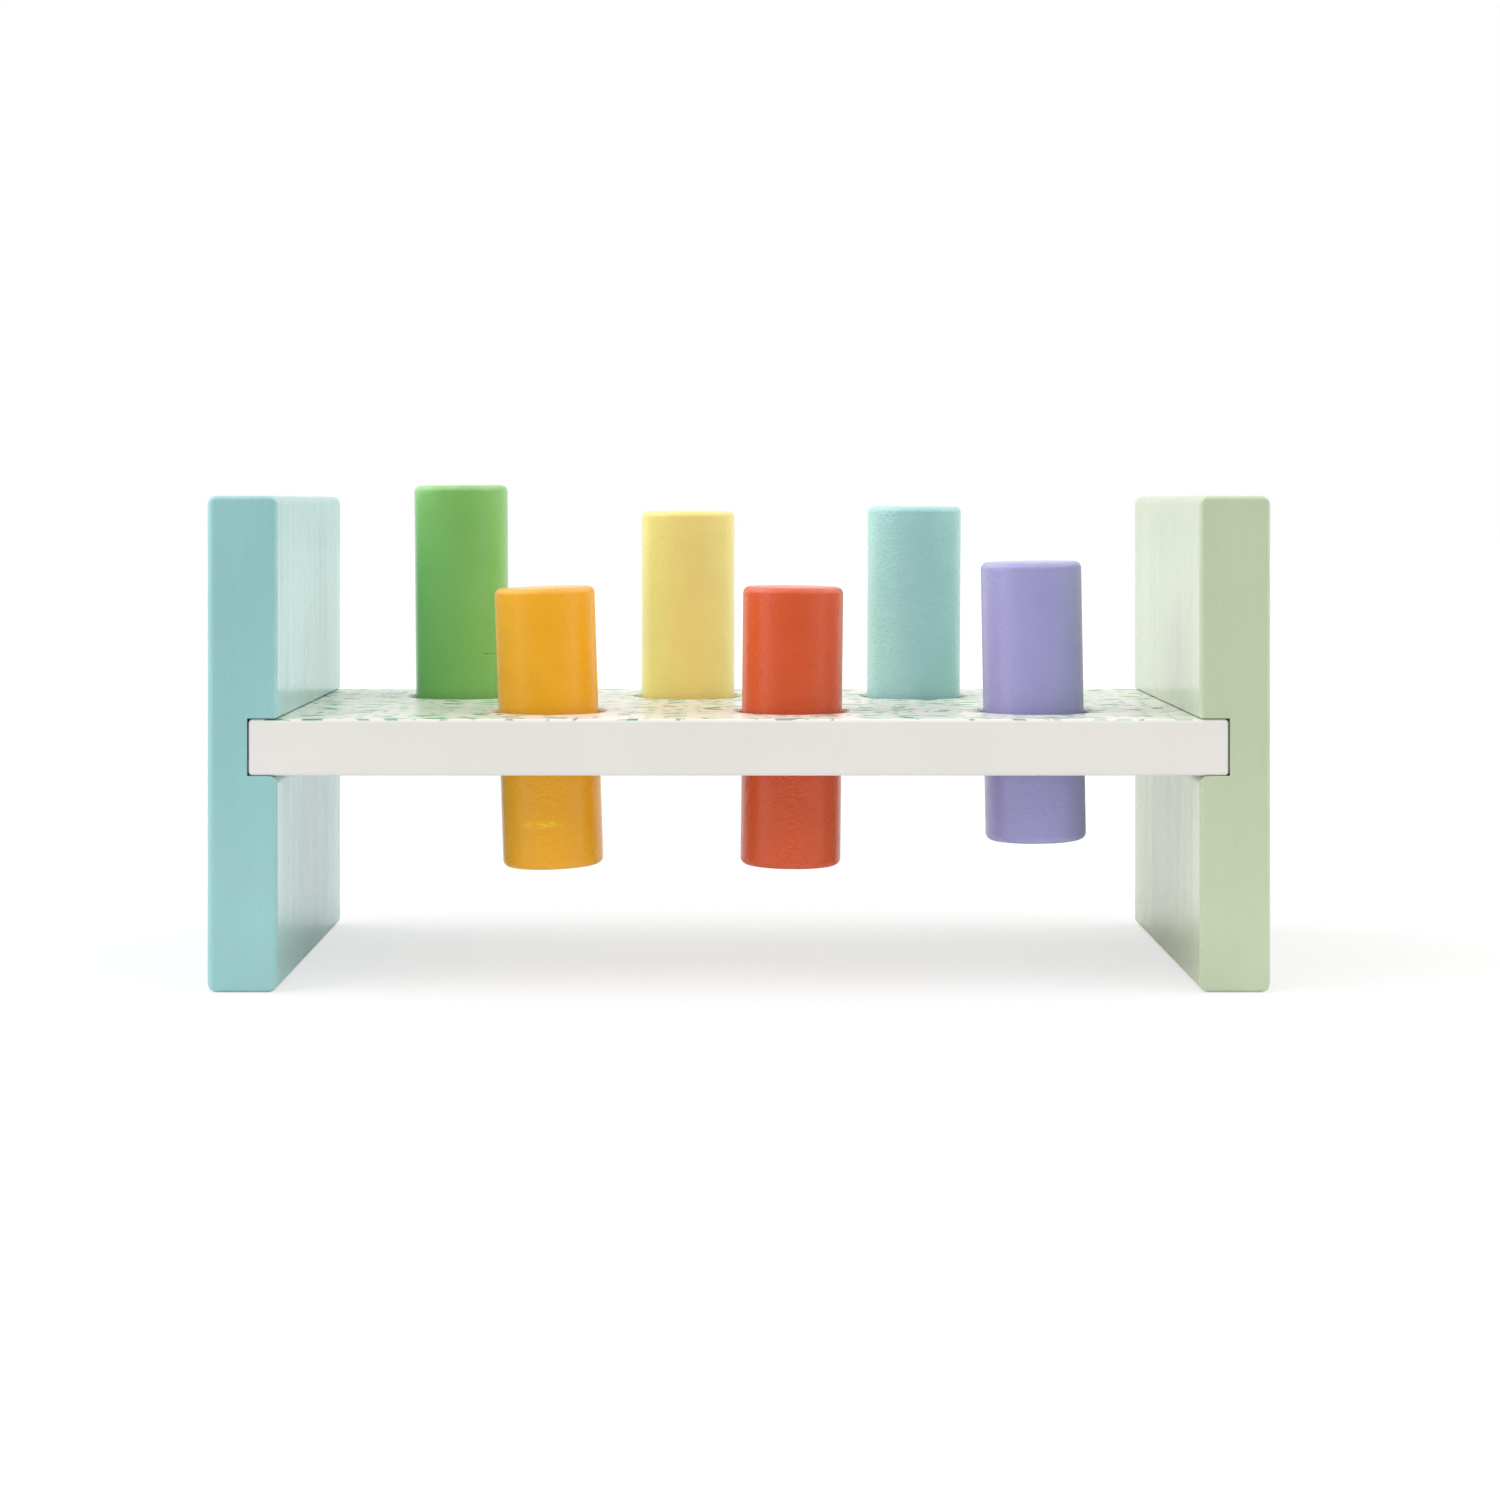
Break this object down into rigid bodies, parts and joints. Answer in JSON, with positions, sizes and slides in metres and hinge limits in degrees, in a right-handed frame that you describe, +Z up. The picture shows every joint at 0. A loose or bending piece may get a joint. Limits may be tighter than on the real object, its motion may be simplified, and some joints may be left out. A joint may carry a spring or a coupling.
{
  "type": "peg pounding bench",
  "caption": "Wooden toy bench: painted pegs in two staggered rows stick through a white deck between two end boards and are hammered down, then back when it is turned over.",
  "frame": {"origin": "middle of the bench's footprint on the table", "axes": "+X along the bench to the right, towards the sage green end, +Y to the back, +Z up"},
  "size_m": [0.225, 0.098, 0.1077],
  "materials": {
    "white_lacquer": "glossy white lacquer with a small printed leaf pattern on top",
    "blue_paint": "satin paint",
    "sage_paint": "satin paint",
    "green_paint": "satin paint",
    "yellow_paint": "satin paint",
    "turquoise_paint": "satin paint",
    "orange_paint": "satin paint",
    "red_paint": "satin paint",
    "purple_paint": "satin paint",
    "grip_rubber": "matt",
    "bare_wood": "bare, glued"
  },
  "bodies": {
    "bench": {"bench_board": "white_lacquer", "left_end_board": "blue_paint", "right_end_board": "sage_paint", "green_peg_ring": "grip_rubber", "yellow_peg_ring": "grip_rubber", "turquoise_peg_ring": "grip_rubber", "orange_peg_ring": "grip_rubber", "red_peg_ring": "grip_rubber", "purple_peg_ring": "grip_rubber", "left_front_dowel": "bare_wood", "left_back_dowel": "bare_wood", "right_front_dowel": "bare_wood", "right_back_dowel": "bare_wood"},
    "green_peg": {"green_peg": "green_paint"},
    "yellow_peg": {"yellow_peg": "yellow_paint"},
    "turquoise_peg": {"turquoise_peg": "turquoise_paint"},
    "orange_peg": {"orange_peg": "orange_paint"},
    "red_peg": {"red_peg": "red_paint"},
    "purple_peg": {"purple_peg": "purple_paint"}
  },
  "joints": [
    {"name": "green_peg_slide", "type": "slide", "parent": "bench", "child": "green_peg", "axis": [-0.0087, 0, 1], "range_m": [-0.0462, 0.0033]},
    {"name": "yellow_peg_slide", "type": "slide", "parent": "bench", "child": "yellow_peg", "axis": [0, 0, 1], "range_m": [-0.0403, 0.0093]},
    {"name": "turquoise_peg_slide", "type": "slide", "parent": "bench", "child": "turquoise_peg", "axis": [0.0052, 0, 1], "range_m": [-0.0413, 0.0082]},
    {"name": "orange_peg_slide", "type": "slide", "parent": "bench", "child": "orange_peg", "axis": [-0.0332, 0, 0.9995], "range_m": [-0.0234, 0.0259]},
    {"name": "red_peg_slide", "type": "slide", "parent": "bench", "child": "red_peg", "axis": [0.0105, 0, 0.9999], "range_m": [-0.0237, 0.0258]},
    {"name": "purple_peg_slide", "type": "slide", "parent": "bench", "child": "purple_peg", "axis": [-0.0175, 0, 0.9998], "range_m": [-0.0291, 0.0203]}
  ]
}
